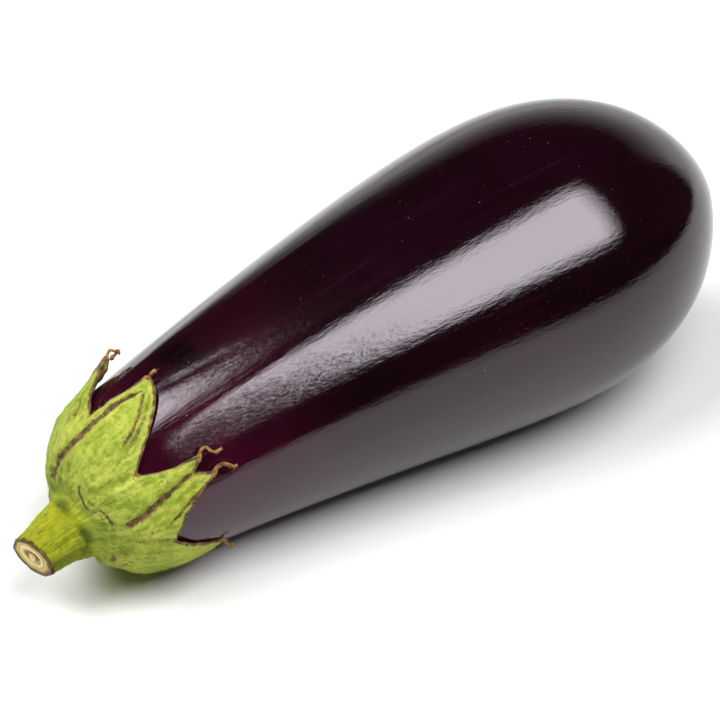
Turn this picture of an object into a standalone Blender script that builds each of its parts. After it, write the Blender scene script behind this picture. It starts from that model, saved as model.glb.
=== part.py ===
"""An eggplant lying on its side: the fruit, and the green cup that grew round its stem end with the cut stem.

The shape is worked out in a straight frame first. There +X runs from the stem pole to the blossom pole along
the fruit's axis. A place on the skin is an arc length from the stem pole and an angle round the axis, 0 on top
and 90 on the -Y side. The last step bows the axis sideways and lays the fruit down on its flat spot.
"""
import bisect
import math

import bmesh
import bpy
from mathutils import Vector

MM = 0.001

# Fruit: control points (station, radius) of the outline, in millimetres, as three curves end to end
SHOULDER = ((0.0, 0.0), (0.0, 18.5), (8.0, 22.9), (22.0, 25.4))
FLANK = ((22.0, 25.4), (98.0, 37.6), (125.8, 42.7), (147.2, 42.7))
BLOSSOM_END = ((147.2, 42.7), (193.8, 42.7), (206.0, 7.7), (206.0, 0.0))
FRUIT_LENGTH = 206.0 * MM
BOW = 5.3 * MM                 # how far the middle of the axis bows to +Y
SCAR_RADIUS = 4.0 * MM         # blossom scar, a shallow dimple at the far pole
SCAR_DEPTH = 0.7 * MM

# Rest: the stem end dips, and the belly is flattened by its own weight
TILT = math.radians(7.2)
FLAT_DEPTH = 0.7 * MM

# Cup: a sheet that hugs the fruit, thick at the pole and thin at the tips
SKIN_GAP = 0.5 * MM
SHEET = 1.1 * MM
CUP_EXTRA = 0.3 * MM           # added where the lobes are still joined
POLE_EXTRA = 2.0 * MM          # added round the stem
PINCH = 0.42                   # share of its fullness that the cup loses where it is pinched
PINCH_ANGLE = -74.0            # side of the pinch, in degrees round the cup
TIP_THINNING = 0.3 * MM
BULGE = 0.5 * MM               # how far each lobe's middle stands proud of the creases beside it
CAP_ARCS = (2.6, 5.2, 7.6, 9.8)
CUP_RINGS = 8

# Stem: (distance from the pole, radius) of each ring in millimetres, after the last cap ring
STEM_RINGS = ((4.4, 8.7), (6.2, 8.1), (9.0, 7.5), (12.4, 6.9), (15.2, 6.5), (16.8, 6.4))
STEM_ROOT = (2.4, 1.0)         # how far the stem's root sits off the pole to -Y and down, in millimetres
STEM_LEANS = (3.0, 8.5)        # how far the stem has turned to -Y and down where it ends, in degrees
CUT_LEANS = (14.0, 4.0)        # the same for the way the cut itself faces, as the knife went through slanting
STEM_RIBS = 9
STEM_RIB_HEIGHT = 0.025
CUT_HOLLOW = 0.5 * MM
CUT_HOLLOW_SHARE = 0.7         # share of the cut's radius that the hollow takes

# Lobes in order round the cup. Arcs in millimetres and angles in degrees: the notch on its low-angle side,
# the angle at which the crease below that notch reaches the stem, how far the line where the lobe begins dips
# between its notches, two pulls on the rising edge, the tip, two pulls on the falling edge, how far the tip
# lifts, how far the edges fold up, and the dried curl beyond the tip as (arc, angle, height) points.
LOBES = (
    dict(name="back", columns=9, notch=(27.0, -82.0), root=-85.0, dip=0.5,
         rise=((33.0, -76.0), (41.0, -62.0)), tip=(45.5, -47.0),
         fall=((40.5, -37.0), (33.5, -26.0)), lift=3.0, fold=1.2,
         curl=((46.5, -48.0, 3.8), (47.5, -50.0, 4.6), (49.0, -45.0, 3.6))),
    dict(name="top", columns=12, notch=(28.8, -11.5), root=-45.0, dip=0.5,
         rise=((34.0, -7.0), (40.0, -4.5)), tip=(46.2, -3.0),
         fall=((46.5, 14.5), (33.5, 28.0)), lift=0.9, fold=0.8,
         curl=((47.2, -3.0, 2.0), (49.0, -3.5, 0.8))),
    dict(name="front_upper", columns=6, notch=(28.5, 41.0), root=45.0, dip=4.0,
         rise=((31.5, 48.5), (38.5, 49.5)), tip=(43.8, 51.5),
         fall=((43.2, 54.5), (42.2, 56.0)), lift=1.2, fold=0.5,
         curl=((45.2, 49.0, 3.0), (47.5, 50.5, 2.0), (50.5, 50.0, 2.8))),
    dict(name="front_lower", columns=8, notch=(41.7, 57.5), root=84.0, dip=6.0,
         rise=((42.8, 58.5), (44.5, 60.0)), tip=(46.0, 62.5),
         fall=((41.0, 66.5), (32.5, 80.0)), lift=0.8, fold=0.5,
         curl=((48.0, 62.0, 2.2), (50.0, 63.0, 2.0), (52.5, 64.5, 1.2))),
    dict(name="under_front", columns=10, notch=(30.8, 93.5), root=108.0, dip=1.0,
         rise=((33.5, 105.0), (40.5, 114.0)), tip=(45.0, 120.5),
         fall=((42.0, 130.0), (35.0, 143.0)), lift=0.3, fold=0.3,
         curl=((46.5, 121.0, 0.9), (48.0, 121.0, 1.8))),
    dict(name="under", columns=10, notch=(28.0, 152.0), root=150.0, dip=0.5,
         rise=((34.0, 160.0), (41.0, 175.0)), tip=(44.0, 183.0),
         fall=((41.0, 191.0), (33.0, 206.0)), lift=0.0, fold=0.0, curl=((45.5, 183.0, 0.2),)),
    dict(name="back_lower", columns=10, notch=(27.0, 214.0), root=214.0, dip=0.5,
         rise=((34.0, 222.0), (42.0, 240.0)), tip=(45.0, 248.0),
         fall=((42.0, 255.0), (34.0, 270.0)), lift=1.6, fold=0.8,
         curl=((47.0, 249.0, 2.8), (49.0, 247.0, 2.6))),
)
LOBE_ROWS = 7
TIP_WIDTH = 2.0 * MM
CURL_END_WIDTH = 1.2 * MM
CURL_STEPS = 2                 # rows between one curl point and the next

# Mesh fineness
FRUIT_SIDES = 60
SHOULDER_STEPS, FLANK_STEPS, END_STEPS = 8, 14, 15
ARC_SAMPLES = 240

AUBERGINE = (0.030, 0.008, 0.022, 1.0)
CALYX_GREEN = (0.26, 0.36, 0.06, 1.0)


def bezier(points, t):
    """Point on a cubic curve through the first and last control points."""
    s = 1.0 - t
    weights = (s ** 3, 3.0 * s * s * t, 3.0 * s * t * t, t ** 3)
    return tuple(sum(w * p[axis] for w, p in zip(weights, points)) for axis in range(len(points[0])))


def dimple(station, radius):
    """Sink the outline at the blossom pole, where the flower dropped off."""
    if station < 0.5 * FRUIT_LENGTH or radius > SCAR_RADIUS:
        return station
    return station - SCAR_DEPTH * (1.0 - (radius / SCAR_RADIUS) ** 2) ** 2


def outline(shoulder_steps, flank_steps, end_steps):
    """Stations and radii of the fruit's outline, in metres, from the stem pole to the blossom pole."""
    points = []
    for curve, steps in ((SHOULDER, shoulder_steps), (FLANK, flank_steps), (BLOSSOM_END, end_steps)):
        first = 0 if not points else 1
        points += [bezier(curve, i / steps) for i in range(first, steps + 1)]
    metres = [(x * MM, max(r * MM, 0.0)) for x, r in points]
    return [(dimple(x, r), r) for x, r in metres]


def measured_outline():
    """The outline, finely sampled, with the arc length at each point."""
    points = outline(ARC_SAMPLES, ARC_SAMPLES, ARC_SAMPLES)
    arcs = [0.0]
    for (x0, r0), (x1, r1) in zip(points, points[1:]):
        arcs.append(arcs[-1] + math.hypot(x1 - x0, r1 - r0))
    return points, arcs


OUTLINE, OUTLINE_ARCS = measured_outline()


def skin_point(arc, angle, height):
    """Point in the straight frame at an arc length, an angle in degrees and a height off the skin."""
    i = min(max(bisect.bisect_right(OUTLINE_ARCS, arc), 1), len(OUTLINE) - 1)
    (x0, r0), (x1, r1) = OUTLINE[i - 1], OUTLINE[i]
    span = OUTLINE_ARCS[i] - OUTLINE_ARCS[i - 1]
    share = (arc - OUTLINE_ARCS[i - 1]) / span
    slope_x, slope_r = (x1 - x0) / span, (r1 - r0) / span
    station = x0 + (x1 - x0) * share - slope_r * height
    radius = r0 + (r1 - r0) * share + slope_x * height
    turn = math.radians(angle)
    return Vector((station, -radius * math.sin(turn), radius * math.cos(turn)))


def bowed(point):
    """Bend a straight-frame point sideways with the axis, each slice staying square to it."""
    share = point.x / FRUIT_LENGTH
    shift = BOW * 4.0 * share * (1.0 - share)
    slope = BOW * 4.0 * (1.0 - 2.0 * share) / FRUIT_LENGTH
    square = math.hypot(1.0, slope)
    return Vector((point.x - point.y * slope / square, shift + point.y / square, point.z))


def tilted(point):
    """A straight-frame point after the bow and the tilt."""
    bent = bowed(point)
    return Vector((bent.x * math.cos(TILT) - bent.z * math.sin(TILT), bent.y,
                   bent.x * math.sin(TILT) + bent.z * math.cos(TILT)))


def rest_place():
    """Centre of the flat spot before the fruit is moved to the origin."""
    underside = [tilted(Vector((x, 0.0, -r))) for x, r in OUTLINE]
    level = min(p.z for p in underside) + FLAT_DEPTH
    touching = [p for p in underside if p.z <= level]
    return Vector((0.5 * (touching[0].x + touching[-1].x), 0.5 * (touching[0].y + touching[-1].y), level))


REST = rest_place()


def lay_down(bm):
    """Bow, tilt and set down a mesh that was made in the straight frame."""
    for vert in bm.verts:
        vert.co = tilted(vert.co) - REST


def finish(name, bm, material):
    """Turn a mesh into a named object with smooth shading and one material."""
    mesh = bpy.data.meshes.new(name)
    bm.to_mesh(mesh)
    bm.free()
    mesh.shade_smooth()
    mesh.set_sharp_from_angle(angle=math.radians(50.0))
    mesh.materials.append(material)
    piece = bpy.data.objects.new(name, mesh)
    bpy.context.scene.collection.objects.link(piece)
    return piece


def principled(name, color, roughness):
    """A plain material of one colour."""
    material = bpy.data.materials.new(name)
    material.use_nodes = True
    shader = material.node_tree.nodes["Principled BSDF"]
    shader.inputs["Base Color"].default_value = color
    shader.inputs["Roughness"].default_value = roughness
    shader.inputs["Metallic"].default_value = 0.0
    material.diffuse_color = color
    return material


def make_fruit():
    """Spin the outline round the axis, lay it down and flatten the spot on which it rests."""
    bm = bmesh.new()
    profile = [bm.verts.new((x, 0.0, r)) for x, r in outline(SHOULDER_STEPS, FLANK_STEPS, END_STEPS)]
    edges = [bm.edges.new(pair) for pair in zip(profile, profile[1:])]
    bmesh.ops.spin(bm, geom=profile + edges, axis=(1.0, 0.0, 0.0), cent=(0.0, 0.0, 0.0), steps=FRUIT_SIDES,
                   angle=2.0 * math.pi, use_merge=True)
    bmesh.ops.remove_doubles(bm, verts=bm.verts, dist=1e-6)
    lay_down(bm)
    cut = bmesh.ops.bisect_plane(bm, geom=bm.verts[:] + bm.edges[:] + bm.faces[:], plane_co=(0.0, 0.0, 0.0),
                                 plane_no=(0.0, 0.0, 1.0), clear_inner=True)
    rim = [item for item in cut["geom_cut"] if isinstance(item, bmesh.types.BMEdge)]
    bmesh.ops.holes_fill(bm, edges=rim, sides=0)
    bmesh.ops.recalc_face_normals(bm, faces=bm.faces)
    return finish("fruit", bm, principled("aubergine_skin", AUBERGINE, 0.22))


def grow_row(bm, row, closed=False):
    """Extrude a chain of vertices along its edges and return the new chain in the same order."""
    following = row[1:] + row[:1] if closed else row[1:]
    edges = [bm.edges.get(pair) for pair in zip(row, following)]
    made = bmesh.ops.extrude_edge_only(bm, edges=edges)["geom"]
    fresh = {item for item in made if isinstance(item, bmesh.types.BMVert)}
    return [next(e.other_vert(v) for e in v.link_edges if e.other_vert(v) in fresh) for v in row]


def off_pole(arc, angle, share):
    """Arc in millimetres and angle of a place on the cup after its middle is shifted to the stem's root."""
    turn, pull = math.radians(angle), (1.0 - share) ** 2
    side = arc * math.sin(turn) + STEM_ROOT[0] * pull
    up = arc * math.cos(turn) - STEM_ROOT[1] * pull
    return math.hypot(side, up), math.degrees(math.atan2(side, up))


def sheet_thickness(arc):
    """Thickness of the cup at an arc length: thickest round the stem."""
    arc_mm = arc / MM
    joined = 1.0 / (1.0 + math.exp((arc_mm - 25.0) / 2.5))
    return SHEET + CUP_EXTRA * joined + POLE_EXTRA * math.exp(-(arc_mm / 9.0) ** 2)


def pinched(angle, share):
    """Share of its fullness that the cup keeps between the stem and the lobes."""
    toward = max(0.0, math.cos(math.radians(angle - PINCH_ANGLE)))
    return 1.0 - PINCH * toward ** 2 * math.sin(math.pi * share ** 1.5)


def dip_at(lobe, across):
    """How far the line where a lobe begins dips below the straight line between its notches, in millimetres."""
    return lobe["dip"] * 4.0 * across * (1.0 - across)


def collar():
    """Arc, angle, root angle and place across its lobe of every column where the lobes begin."""
    columns = []
    for lobe, after in zip(LOBES, LOBES[1:] + LOBES[:1]):
        turn = 360.0 if after["notch"][1] < lobe["notch"][1] else 0.0
        start = (*lobe["notch"], lobe["root"], 0.0)
        end = (after["notch"][0], after["notch"][1] + turn, after["root"] + turn, 1.0)
        for i in range(lobe["columns"]):
            share = i / lobe["columns"]
            arc, angle, root, across = (a + (b - a) * share for a, b in zip(start, end))
            columns.append((arc - dip_at(lobe, share), angle, root, across))
    return columns


def crease(across):
    """0 on the creases beside a lobe and 1 along its middle."""
    return math.sin(math.pi * across) ** 0.8 if 0.0 < across < 1.0 else 0.0


def catmull_rom(points, index, t):
    """Point between points[index] and the next one on a smooth curve through them all."""
    p1, p2 = points[index], points[index + 1]
    p0 = points[index - 1] if index else p1 * 2.0 - p2
    p3 = points[index + 2] if index + 2 < len(points) else p2 * 2.0 - p1
    return 0.5 * (2.0 * p1 + (p2 - p0) * t + (2.0 * p0 - 5.0 * p1 + 4.0 * p2 - p3) * t ** 2
                  + (3.0 * p1 - p0 - 3.0 * p2 + p3) * t ** 3)


def grow_lobe(bm, base, lobe, after, thickness):
    """Grow one lobe from its stretch of the collar to its tip, then its dried curl."""
    notch0, notch1 = lobe["notch"], after["notch"]
    if notch1[1] < notch0[1]:
        notch1 = (notch1[0], notch1[1] + 360.0)
    tip = lobe["tip"]
    half = math.degrees(0.5 * TIP_WIDTH / skin_point(tip[0] * MM, 0.0, 0.0).z)
    left = (notch0,) + lobe["rise"] + ((tip[0], tip[1] - half),)
    right = (notch1,) + tuple(reversed(lobe["fall"])) + ((tip[0], tip[1] + half),)
    last = len(base) - 1
    row = base
    for k in range(1, LOBE_ROWS + 1):
        along = k / LOBE_ROWS
        row = grow_row(bm, row)
        (arc0, angle0), (arc1, angle1) = bezier(left, along), bezier(right, along)
        for i, vert in enumerate(row):
            across = i / last
            lift = lobe["lift"] * along ** 2 + lobe["fold"] * along * (2.0 * across - 1.0) ** 2
            raised = BULGE * crease(across) * (1.0 - along)
            arc = arc0 + (arc1 - arc0) * across - dip_at(lobe, across) * (1.0 - along)
            vert.co = skin_point(arc * MM, angle0 + (angle1 - angle0) * across, SKIN_GAP + raised + lift * MM)
            thickness[vert] = SHEET - TIP_THINNING * along
    path = [skin_point(tip[0] * MM, tip[1], SKIN_GAP + lobe["lift"] * MM)]
    path += [skin_point(arc * MM, angle, SKIN_GAP + height * MM) for arc, angle, height in lobe["curl"]]
    across_tip = (row[-1].co - row[0].co).normalized()
    steps = CURL_STEPS * (len(path) - 1)
    for k in range(1, steps + 1):
        row = grow_row(bm, row)
        index = min((k - 1) // CURL_STEPS, len(path) - 2)
        centre = catmull_rom(path, index, k / CURL_STEPS - index)
        width = TIP_WIDTH + (CURL_END_WIDTH - TIP_WIDTH) * k / steps
        for i, vert in enumerate(row):
            vert.co = centre + across_tip * width * (i / last - 0.5)
            thickness[vert] = SHEET - TIP_THINNING


def thicken(bm, thickness):
    """Give the sheet its wall: a copy of it stands off along the normals, joined to it round the rim."""
    bmesh.ops.triangulate(bm, faces=bm.faces[:])
    bmesh.ops.recalc_face_normals(bm, faces=bm.faces)
    if sum(face.normal.x for face in bm.faces) > 0.0:
        bmesh.ops.reverse_faces(bm, faces=bm.faces)
    bm.normal_update()
    inner_verts, inner_faces = bm.verts[:], bm.faces[:]
    rim = [(loop.vert, loop.link_loop_next.vert) for face in bm.faces for loop in face.loops
           if loop.edge.is_boundary]
    copy = bmesh.ops.duplicate(bm, geom=inner_verts + bm.edges[:] + inner_faces)
    outer = copy["vert_map"]
    for vert in inner_verts:
        outer[vert].co = vert.co + vert.normal * thickness[vert]
    bmesh.ops.reverse_faces(bm, faces=inner_faces)
    for a, b in rim:
        bm.faces.new((a, b, outer[b], outer[a]))
    return outer


def leaning(leans, share):
    """Unit direction away from the stem pole, leaning by a share of two angles: to -Y and down."""
    side, down = (math.tan(math.radians(lean * share)) for lean in leans)
    return Vector((-1.0, -side, -down)).normalized()


def stem_centres():
    """Centre, facing and radius of each stem ring, from the pole outwards."""
    point, before, centres = Vector((0.0, -STEM_ROOT[0] * MM, -STEM_ROOT[1] * MM)), 0.0, []
    length = STEM_RINGS[-1][0]
    for distance, radius in STEM_RINGS:
        point = point + leaning(STEM_LEANS, 0.5 * (before + distance) / length) * (distance - before) * MM
        before = distance
        share = distance / length
        facing = leaning(STEM_LEANS, share).lerp(leaning(CUT_LEANS, 1.0), share ** 4).normalized()
        centres.append((point, facing, radius * MM))
    return centres


def grow_stem(bm, cap_faces, place):
    """Extrude the cap round the pole along the stem and hollow its cut end a little."""
    cap_verts = {vert for face in cap_faces for vert in face.verts}
    root = Vector((0.0, -STEM_ROOT[0] * MM, -STEM_ROOT[1] * MM))
    for vert in cap_verts:
        vert[place] = Vector((0.0, *(vert.co - root).yz))
    foot_radius = max(vert[place].length for vert in cap_verts)
    for vert in cap_verts:
        vert[place] = vert[place] / foot_radius
    faces = cap_faces
    for centre, direction, radius in stem_centres():
        made = bmesh.ops.extrude_face_region(bm, geom=faces)["geom"]
        bmesh.ops.delete(bm, geom=faces, context="FACES")
        faces = [item for item in made if isinstance(item, bmesh.types.BMFace)]
        turn = Vector((-1.0, 0.0, 0.0)).rotation_difference(direction)
        for vert in {v for f in faces for v in f.verts}:
            y, z = vert[place].yz
            rib = 1.0 + STEM_RIB_HEIGHT * math.cos(STEM_RIBS * math.atan2(-y, z)) * math.hypot(y, z)
            vert.co = centre + turn @ (vert[place] * radius * rib)
    for vert in {v for f in faces for v in f.verts}:
        if vert[place].length < CUT_HOLLOW_SHARE:
            vert.co -= direction * CUT_HOLLOW


def make_calyx():
    """Cup, lobes and stem as one closed body."""
    bm = bmesh.new()
    place = bm.verts.layers.float_vector.new("place")
    columns = collar()
    thickness = {}
    made = bmesh.ops.create_circle(bm, cap_ends=True, cap_tris=True, segments=len(columns),
                                   radius=CAP_ARCS[0] * MM)
    hub = next(v for v in made["verts"] if len(v.link_edges) == len(columns))
    hub_arc, hub_angle = off_pole(0.0, 0.0, 0.0)
    hub.co = skin_point(hub_arc * MM, hub_angle, SKIN_GAP)
    thickness[hub] = sheet_thickness(0.0)
    ring = sorted((v for v in made["verts"] if v is not hub), key=lambda v: math.atan2(v.co.y, v.co.x))
    rings = []
    shares = [k / CUP_RINGS for k in range(1, CUP_RINGS + 1)]
    for level in range(len(CAP_ARCS) + CUP_RINGS):
        if level:
            ring = grow_row(bm, ring, closed=True)
        for vert, (arc_end, angle_end, root, across) in zip(ring, columns):
            if level < len(CAP_ARCS):
                arc, share = CAP_ARCS[level], 0.0
            else:
                share = shares[level - len(CAP_ARCS)]
                arc = CAP_ARCS[-1] + (arc_end - CAP_ARCS[-1]) * share
            arc_moved, angle_moved = off_pole(arc, root + (angle_end - root) * share, share)
            full = pinched(angle_moved, share) if share < 1.0 else 1.0
            raised = BULGE * crease(across) * share * full
            vert.co = skin_point(arc_moved * MM, angle_moved, SKIN_GAP + raised)
            thickness[vert] = (sheet_thickness(arc * MM) if share < 1.0 else SHEET) * full
        rings.append(ring)
    start = 0
    for lobe, after in zip(LOBES, LOBES[1:] + LOBES[:1]):
        base = [ring[(start + i) % len(ring)] for i in range(lobe["columns"] + 1)]
        grow_lobe(bm, base, lobe, after, thickness)
        start += lobe["columns"]
    cap = [hub] + [vert for ring in rings[:len(CAP_ARCS)] for vert in ring]
    outer = thicken(bm, thickness)
    cap_top = {outer[vert] for vert in cap}
    cap_faces = {face for vert in cap_top for face in vert.link_faces if cap_top.issuperset(face.verts)}
    grow_stem(bm, list(cap_faces), place)
    lay_down(bm)
    return finish("calyx_and_stem", bm, principled("calyx_green", CALYX_GREEN, 0.7))


for old in list(bpy.data.objects):
    bpy.data.objects.remove(old, do_unlink=True)
make_fruit()
make_calyx()
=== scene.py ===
# %% [markdown]
# # The looks of an eggplant
#
# The packed model gives the true size and place of two solids: the fruit, and the green calyx with its
# stem. This script loads them as a fixed frame, puts a finer piece in the place of each and lights them as
# in a small studio. Everything stays in the frame's own metres, with +Z up and the fruit resting on z = 0.

# %% Load the frame
import math
import random

import bmesh
import bpy
import numpy as np
from mathutils import Matrix, Vector, noise


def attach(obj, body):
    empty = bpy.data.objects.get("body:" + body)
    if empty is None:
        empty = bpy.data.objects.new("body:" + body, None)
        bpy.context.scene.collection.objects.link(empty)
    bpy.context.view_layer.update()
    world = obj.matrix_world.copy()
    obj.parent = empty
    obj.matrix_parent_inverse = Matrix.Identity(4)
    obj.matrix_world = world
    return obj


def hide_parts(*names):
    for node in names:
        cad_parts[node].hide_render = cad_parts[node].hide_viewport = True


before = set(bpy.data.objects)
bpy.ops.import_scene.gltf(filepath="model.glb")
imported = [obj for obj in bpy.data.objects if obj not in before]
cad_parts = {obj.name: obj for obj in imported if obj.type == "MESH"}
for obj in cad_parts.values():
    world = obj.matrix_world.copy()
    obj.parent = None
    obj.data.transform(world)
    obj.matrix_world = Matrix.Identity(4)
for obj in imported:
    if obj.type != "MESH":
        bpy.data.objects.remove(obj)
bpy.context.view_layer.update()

# %% [markdown]
# ## Places on the skin
#
# A grown thing has no corners to measure from, so its places are best said along its own surface: how far
# from the stem pole (an arc length, in millimetres), how far round (an angle, 0 on top and 90 on the -Y
# side), and how high off the skin. The fruit's outline is three curves end to end, as in the solid model,
# and the whole fruit is then bowed sideways, tilted and set down. The functions work on whole arrays of
# places at once.

# %% The outline and the places on it
MM = 0.001
SHOULDER = ((0.0, 0.0), (0.0, 18.5), (8.0, 22.9), (22.0, 25.4))
FLANK = ((22.0, 25.4), (98.0, 37.6), (125.8, 42.7), (147.2, 42.7))
BLOSSOM_END = ((147.2, 42.7), (193.8, 42.7), (206.0, 7.7), (206.0, 0.0))
FRUIT_LENGTH = 206.0
BOW = 5.3
SCAR_RADIUS = 4.0
SCAR_DEPTH = 0.7
TILT = math.radians(7.2)
FLAT_DEPTH = 0.7


def bezier(points, t):
    """Points on a cubic curve at each t."""
    t = np.atleast_1d(np.asarray(t, float))[:, None]
    p0, p1, p2, p3 = (np.asarray(p, float) for p in points)
    s = 1.0 - t
    return s ** 3 * p0 + 3.0 * s * s * t * p1 + 3.0 * s * t * t * p2 + t ** 3 * p3


def outline(shoulder_steps, flank_steps, end_steps):
    """Stations and radii from the stem pole to the blossom pole, with the dimple of the flower scar."""
    parts = []
    for curve, steps in ((SHOULDER, shoulder_steps), (FLANK, flank_steps), (BLOSSOM_END, end_steps)):
        points = bezier(curve, np.arange(steps + 1) / steps)
        parts.append(points if not parts else points[1:])
    points = np.concatenate(parts)
    near_scar = (points[:, 0] > 0.5 * FRUIT_LENGTH) & (points[:, 1] < SCAR_RADIUS)
    sink = SCAR_DEPTH * (1.0 - (points[:, 1] / SCAR_RADIUS) ** 2) ** 2
    points[:, 0] -= np.where(near_scar, sink, 0.0)
    return points


fine_outline = outline(240, 240, 240)
fine_arcs = np.concatenate(([0.0], np.cumsum(np.hypot(*np.diff(fine_outline, axis=0).T))))


def skin_point(arc, angle, height):
    """Places in the straight frame, in millimetres."""
    x, r = (np.interp(arc, fine_arcs, fine_outline[:, axis]) for axis in (0, 1))
    slope_x, slope_r = (np.interp(arc, fine_arcs, np.gradient(fine_outline[:, axis], fine_arcs))
                        for axis in (0, 1))
    radius = r + slope_x * height
    turn = np.radians(angle)
    return np.stack((x - slope_r * height, -radius * np.sin(turn), radius * np.cos(turn)), axis=-1)


def bowed_and_tilted(points):
    """Straight-frame places after the fruit's bow and tilt."""
    share = points[..., 0] / FRUIT_LENGTH
    shift = BOW * 4.0 * share * (1.0 - share)
    slope = BOW * 4.0 * (1.0 - 2.0 * share) / FRUIT_LENGTH
    square = np.hypot(1.0, slope)
    x = points[..., 0] - points[..., 1] * slope / square
    y = shift + points[..., 1] / square
    z = points[..., 2]
    sine, cosine = math.sin(TILT), math.cos(TILT)
    return np.stack((x * cosine - z * sine, y, x * sine + z * cosine), axis=-1)


def rest_place():
    """Centre of the flat spot on which the fruit lies, before it is moved to the origin."""
    x, r = fine_outline.T
    underside = bowed_and_tilted(np.stack((x, 0.0 * x, -r), axis=-1))
    level = underside[:, 2].min() + FLAT_DEPTH
    touching = underside[underside[:, 2] <= level]
    return np.array((*(0.5 * (touching[0, :2] + touching[-1, :2])), level))


REST = rest_place()


def laid_down(points):
    """Straight-frame places in millimetres as places in the frame, in metres."""
    return (bowed_and_tilted(points) - REST) * MM


print("stem pole, metres:", laid_down(skin_point(0.0, 0.0, 0.0)).round(4))

# %% [markdown]
# ## Lines drawn on a surface
#
# Creases, cracks and scars follow the surface, so each is a short list of places and a width. How near a
# place lies to such a line is measured along the skin, and it steers both the relief (the mesh sinks or
# rises there) and the colour (the mesh keeps the nearness as an attribute that a material can read). An
# image could carry the same lines, but it would need painting and would blur close up.

# %% Nearness to a line
ROUND_DEGREE = math.pi / 180.0


def smooth_line(points, steps=6):
    """A denser line through the given places, with rounded corners."""
    points = np.asarray(points, float)
    ends = np.concatenate(([2.0 * points[0] - points[1]], points, [2.0 * points[-1] - points[-2]]))
    t = (np.arange(steps) / steps)[:, None]
    parts = []
    for p0, p1, p2, p3 in zip(ends, ends[1:], ends[2:], ends[3:]):
        parts.append(0.5 * (2.0 * p1 + (p2 - p0) * t + (2.0 * p0 - 5.0 * p1 + 4.0 * p2 - p3) * t ** 2
                            + (3.0 * p1 - p0 - 3.0 * p2 + p3) * t ** 3))
    return np.concatenate(parts + [points[-1:]])


def distance_to_line(arc, angle, line):
    """Millimetres along the skin from each place to a line, and how far along the line it lies."""
    dense = smooth_line(line)
    radius = np.interp(arc, fine_arcs, fine_outline[:, 1])
    best = np.full(arc.shape, np.inf)
    along = np.zeros(arc.shape)
    for i, (start, end) in enumerate(zip(dense, dense[1:])):
        ax, ay = arc - start[0], (angle - start[1]) * ROUND_DEGREE * radius
        bx, by = end[0] - start[0], (end[1] - start[1]) * ROUND_DEGREE * radius
        t = np.clip((ax * bx + ay * by) / np.maximum(bx * bx + by * by, 1e-9), 0.0, 1.0)
        distance = np.hypot(ax - t * bx, ay - t * by)
        along = np.where(distance < best, (i + t) / (len(dense) - 1), along)
        best = np.minimum(best, distance)
    return best, along


def ridge_shape(distance, width):
    """1 on a line, falling softly to 0 at about its width."""
    return np.exp(-(distance / (0.5 * width)) ** 2)


print("a line through 3 places gets", len(smooth_line(((0.0, 0.0), (1.0, 1.0), (2.0, 0.0)))), "points")

# %% [markdown]
# ## The fruit
#
# The real fruit is a taut, thin skin over spongy flesh: nearly a surface of revolution, but with broad,
# faint flutes along its length, a fine crease or two that start at the calyx, and a small scar at the
# blossom end. A spin of the outline gives the body, and the flutes and creases are moves of its vertices by
# a few tenths of a millimetre, which is enough to bend the reflection of the light. The spot on which it
# lies is pressed flat.

# %% Fruit: body, flutes and creases
FRUIT_SIDES = 288
FRUIT_STEPS = (44, 84, 66)
FLUTES = ((5, 0.07, 0.4), (8, 0.045, 2.1), (13, 0.025, 4.0))     # waves round the fruit, millimetres, phase
FLAT_SOFTNESS = 0.10                                           # millimetres
FLUTE_DRIFT = 0.004             # radians that the flutes wind round per millimetre of length
SKIN_CREASES = (                # places as (arc, angle), width, height
    (((44, -7), (49.8, -9.5), (55.2, -10), (62, -10), (69.6, -8), (77.2, -5.5), (92, -4)),
     1.8, 0.16),
    (((44, -7), (55, -13.5), (75, -16), (100, -17), (130, -17)), 2.6, 0.10),
    (((46, -28), (60, -33), (85, -34)), 2.4, -0.10),
    (((30, 41), (40, 34), (56, 31), (80, 30)), 3, 0.10),
    (((46, 5), (56, 8), (72, 12)), 2.4, -0.10),
)


def mesh_points(mesh):
    """A mesh's vertices as an array."""
    points = np.zeros(len(mesh.vertices) * 3)
    mesh.vertices.foreach_get("co", points)
    return points.reshape(-1, 3)


def new_piece(name, mesh, node):
    """Link a finished mesh as a piece that stands for a CAD node."""
    mesh.update()
    piece = bpy.data.objects.new(name, mesh)
    bpy.context.scene.collection.objects.link(piece)
    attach(piece, "root")
    if node:
        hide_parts(node)
    return piece


def skin_relief(arc, angle):
    """How far the skin stands proud of the smooth body, in millimetres."""
    middle = np.sin(np.pi * np.clip(arc / fine_arcs[-1], 0.0, 1.0)) ** 0.5
    relief = np.zeros(arc.shape)
    for count, height, phase in FLUTES:
        relief += height * middle * np.cos(count * np.radians(angle) + phase + FLUTE_DRIFT * arc)
    for line, width, height in SKIN_CREASES:
        distance, along = distance_to_line(arc, angle, line)
        relief += height * ridge_shape(distance, width) * np.sin(np.pi * along) ** 0.7
    return relief


print("waves of flutes:", len(FLUTES), "skin creases:", len(SKIN_CREASES))

# %% [markdown]
# The spin makes a closed body from the outline in one step. Each of its vertices then gets its place from
# how far along and how far round it lies, so the relief can be added on the way. The vertices keep that
# place as an attribute too, which lets the skin's finish be stretched along the fruit. A Displace modifier
# could move the skin as well, but it would need a texture for the relief.

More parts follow.
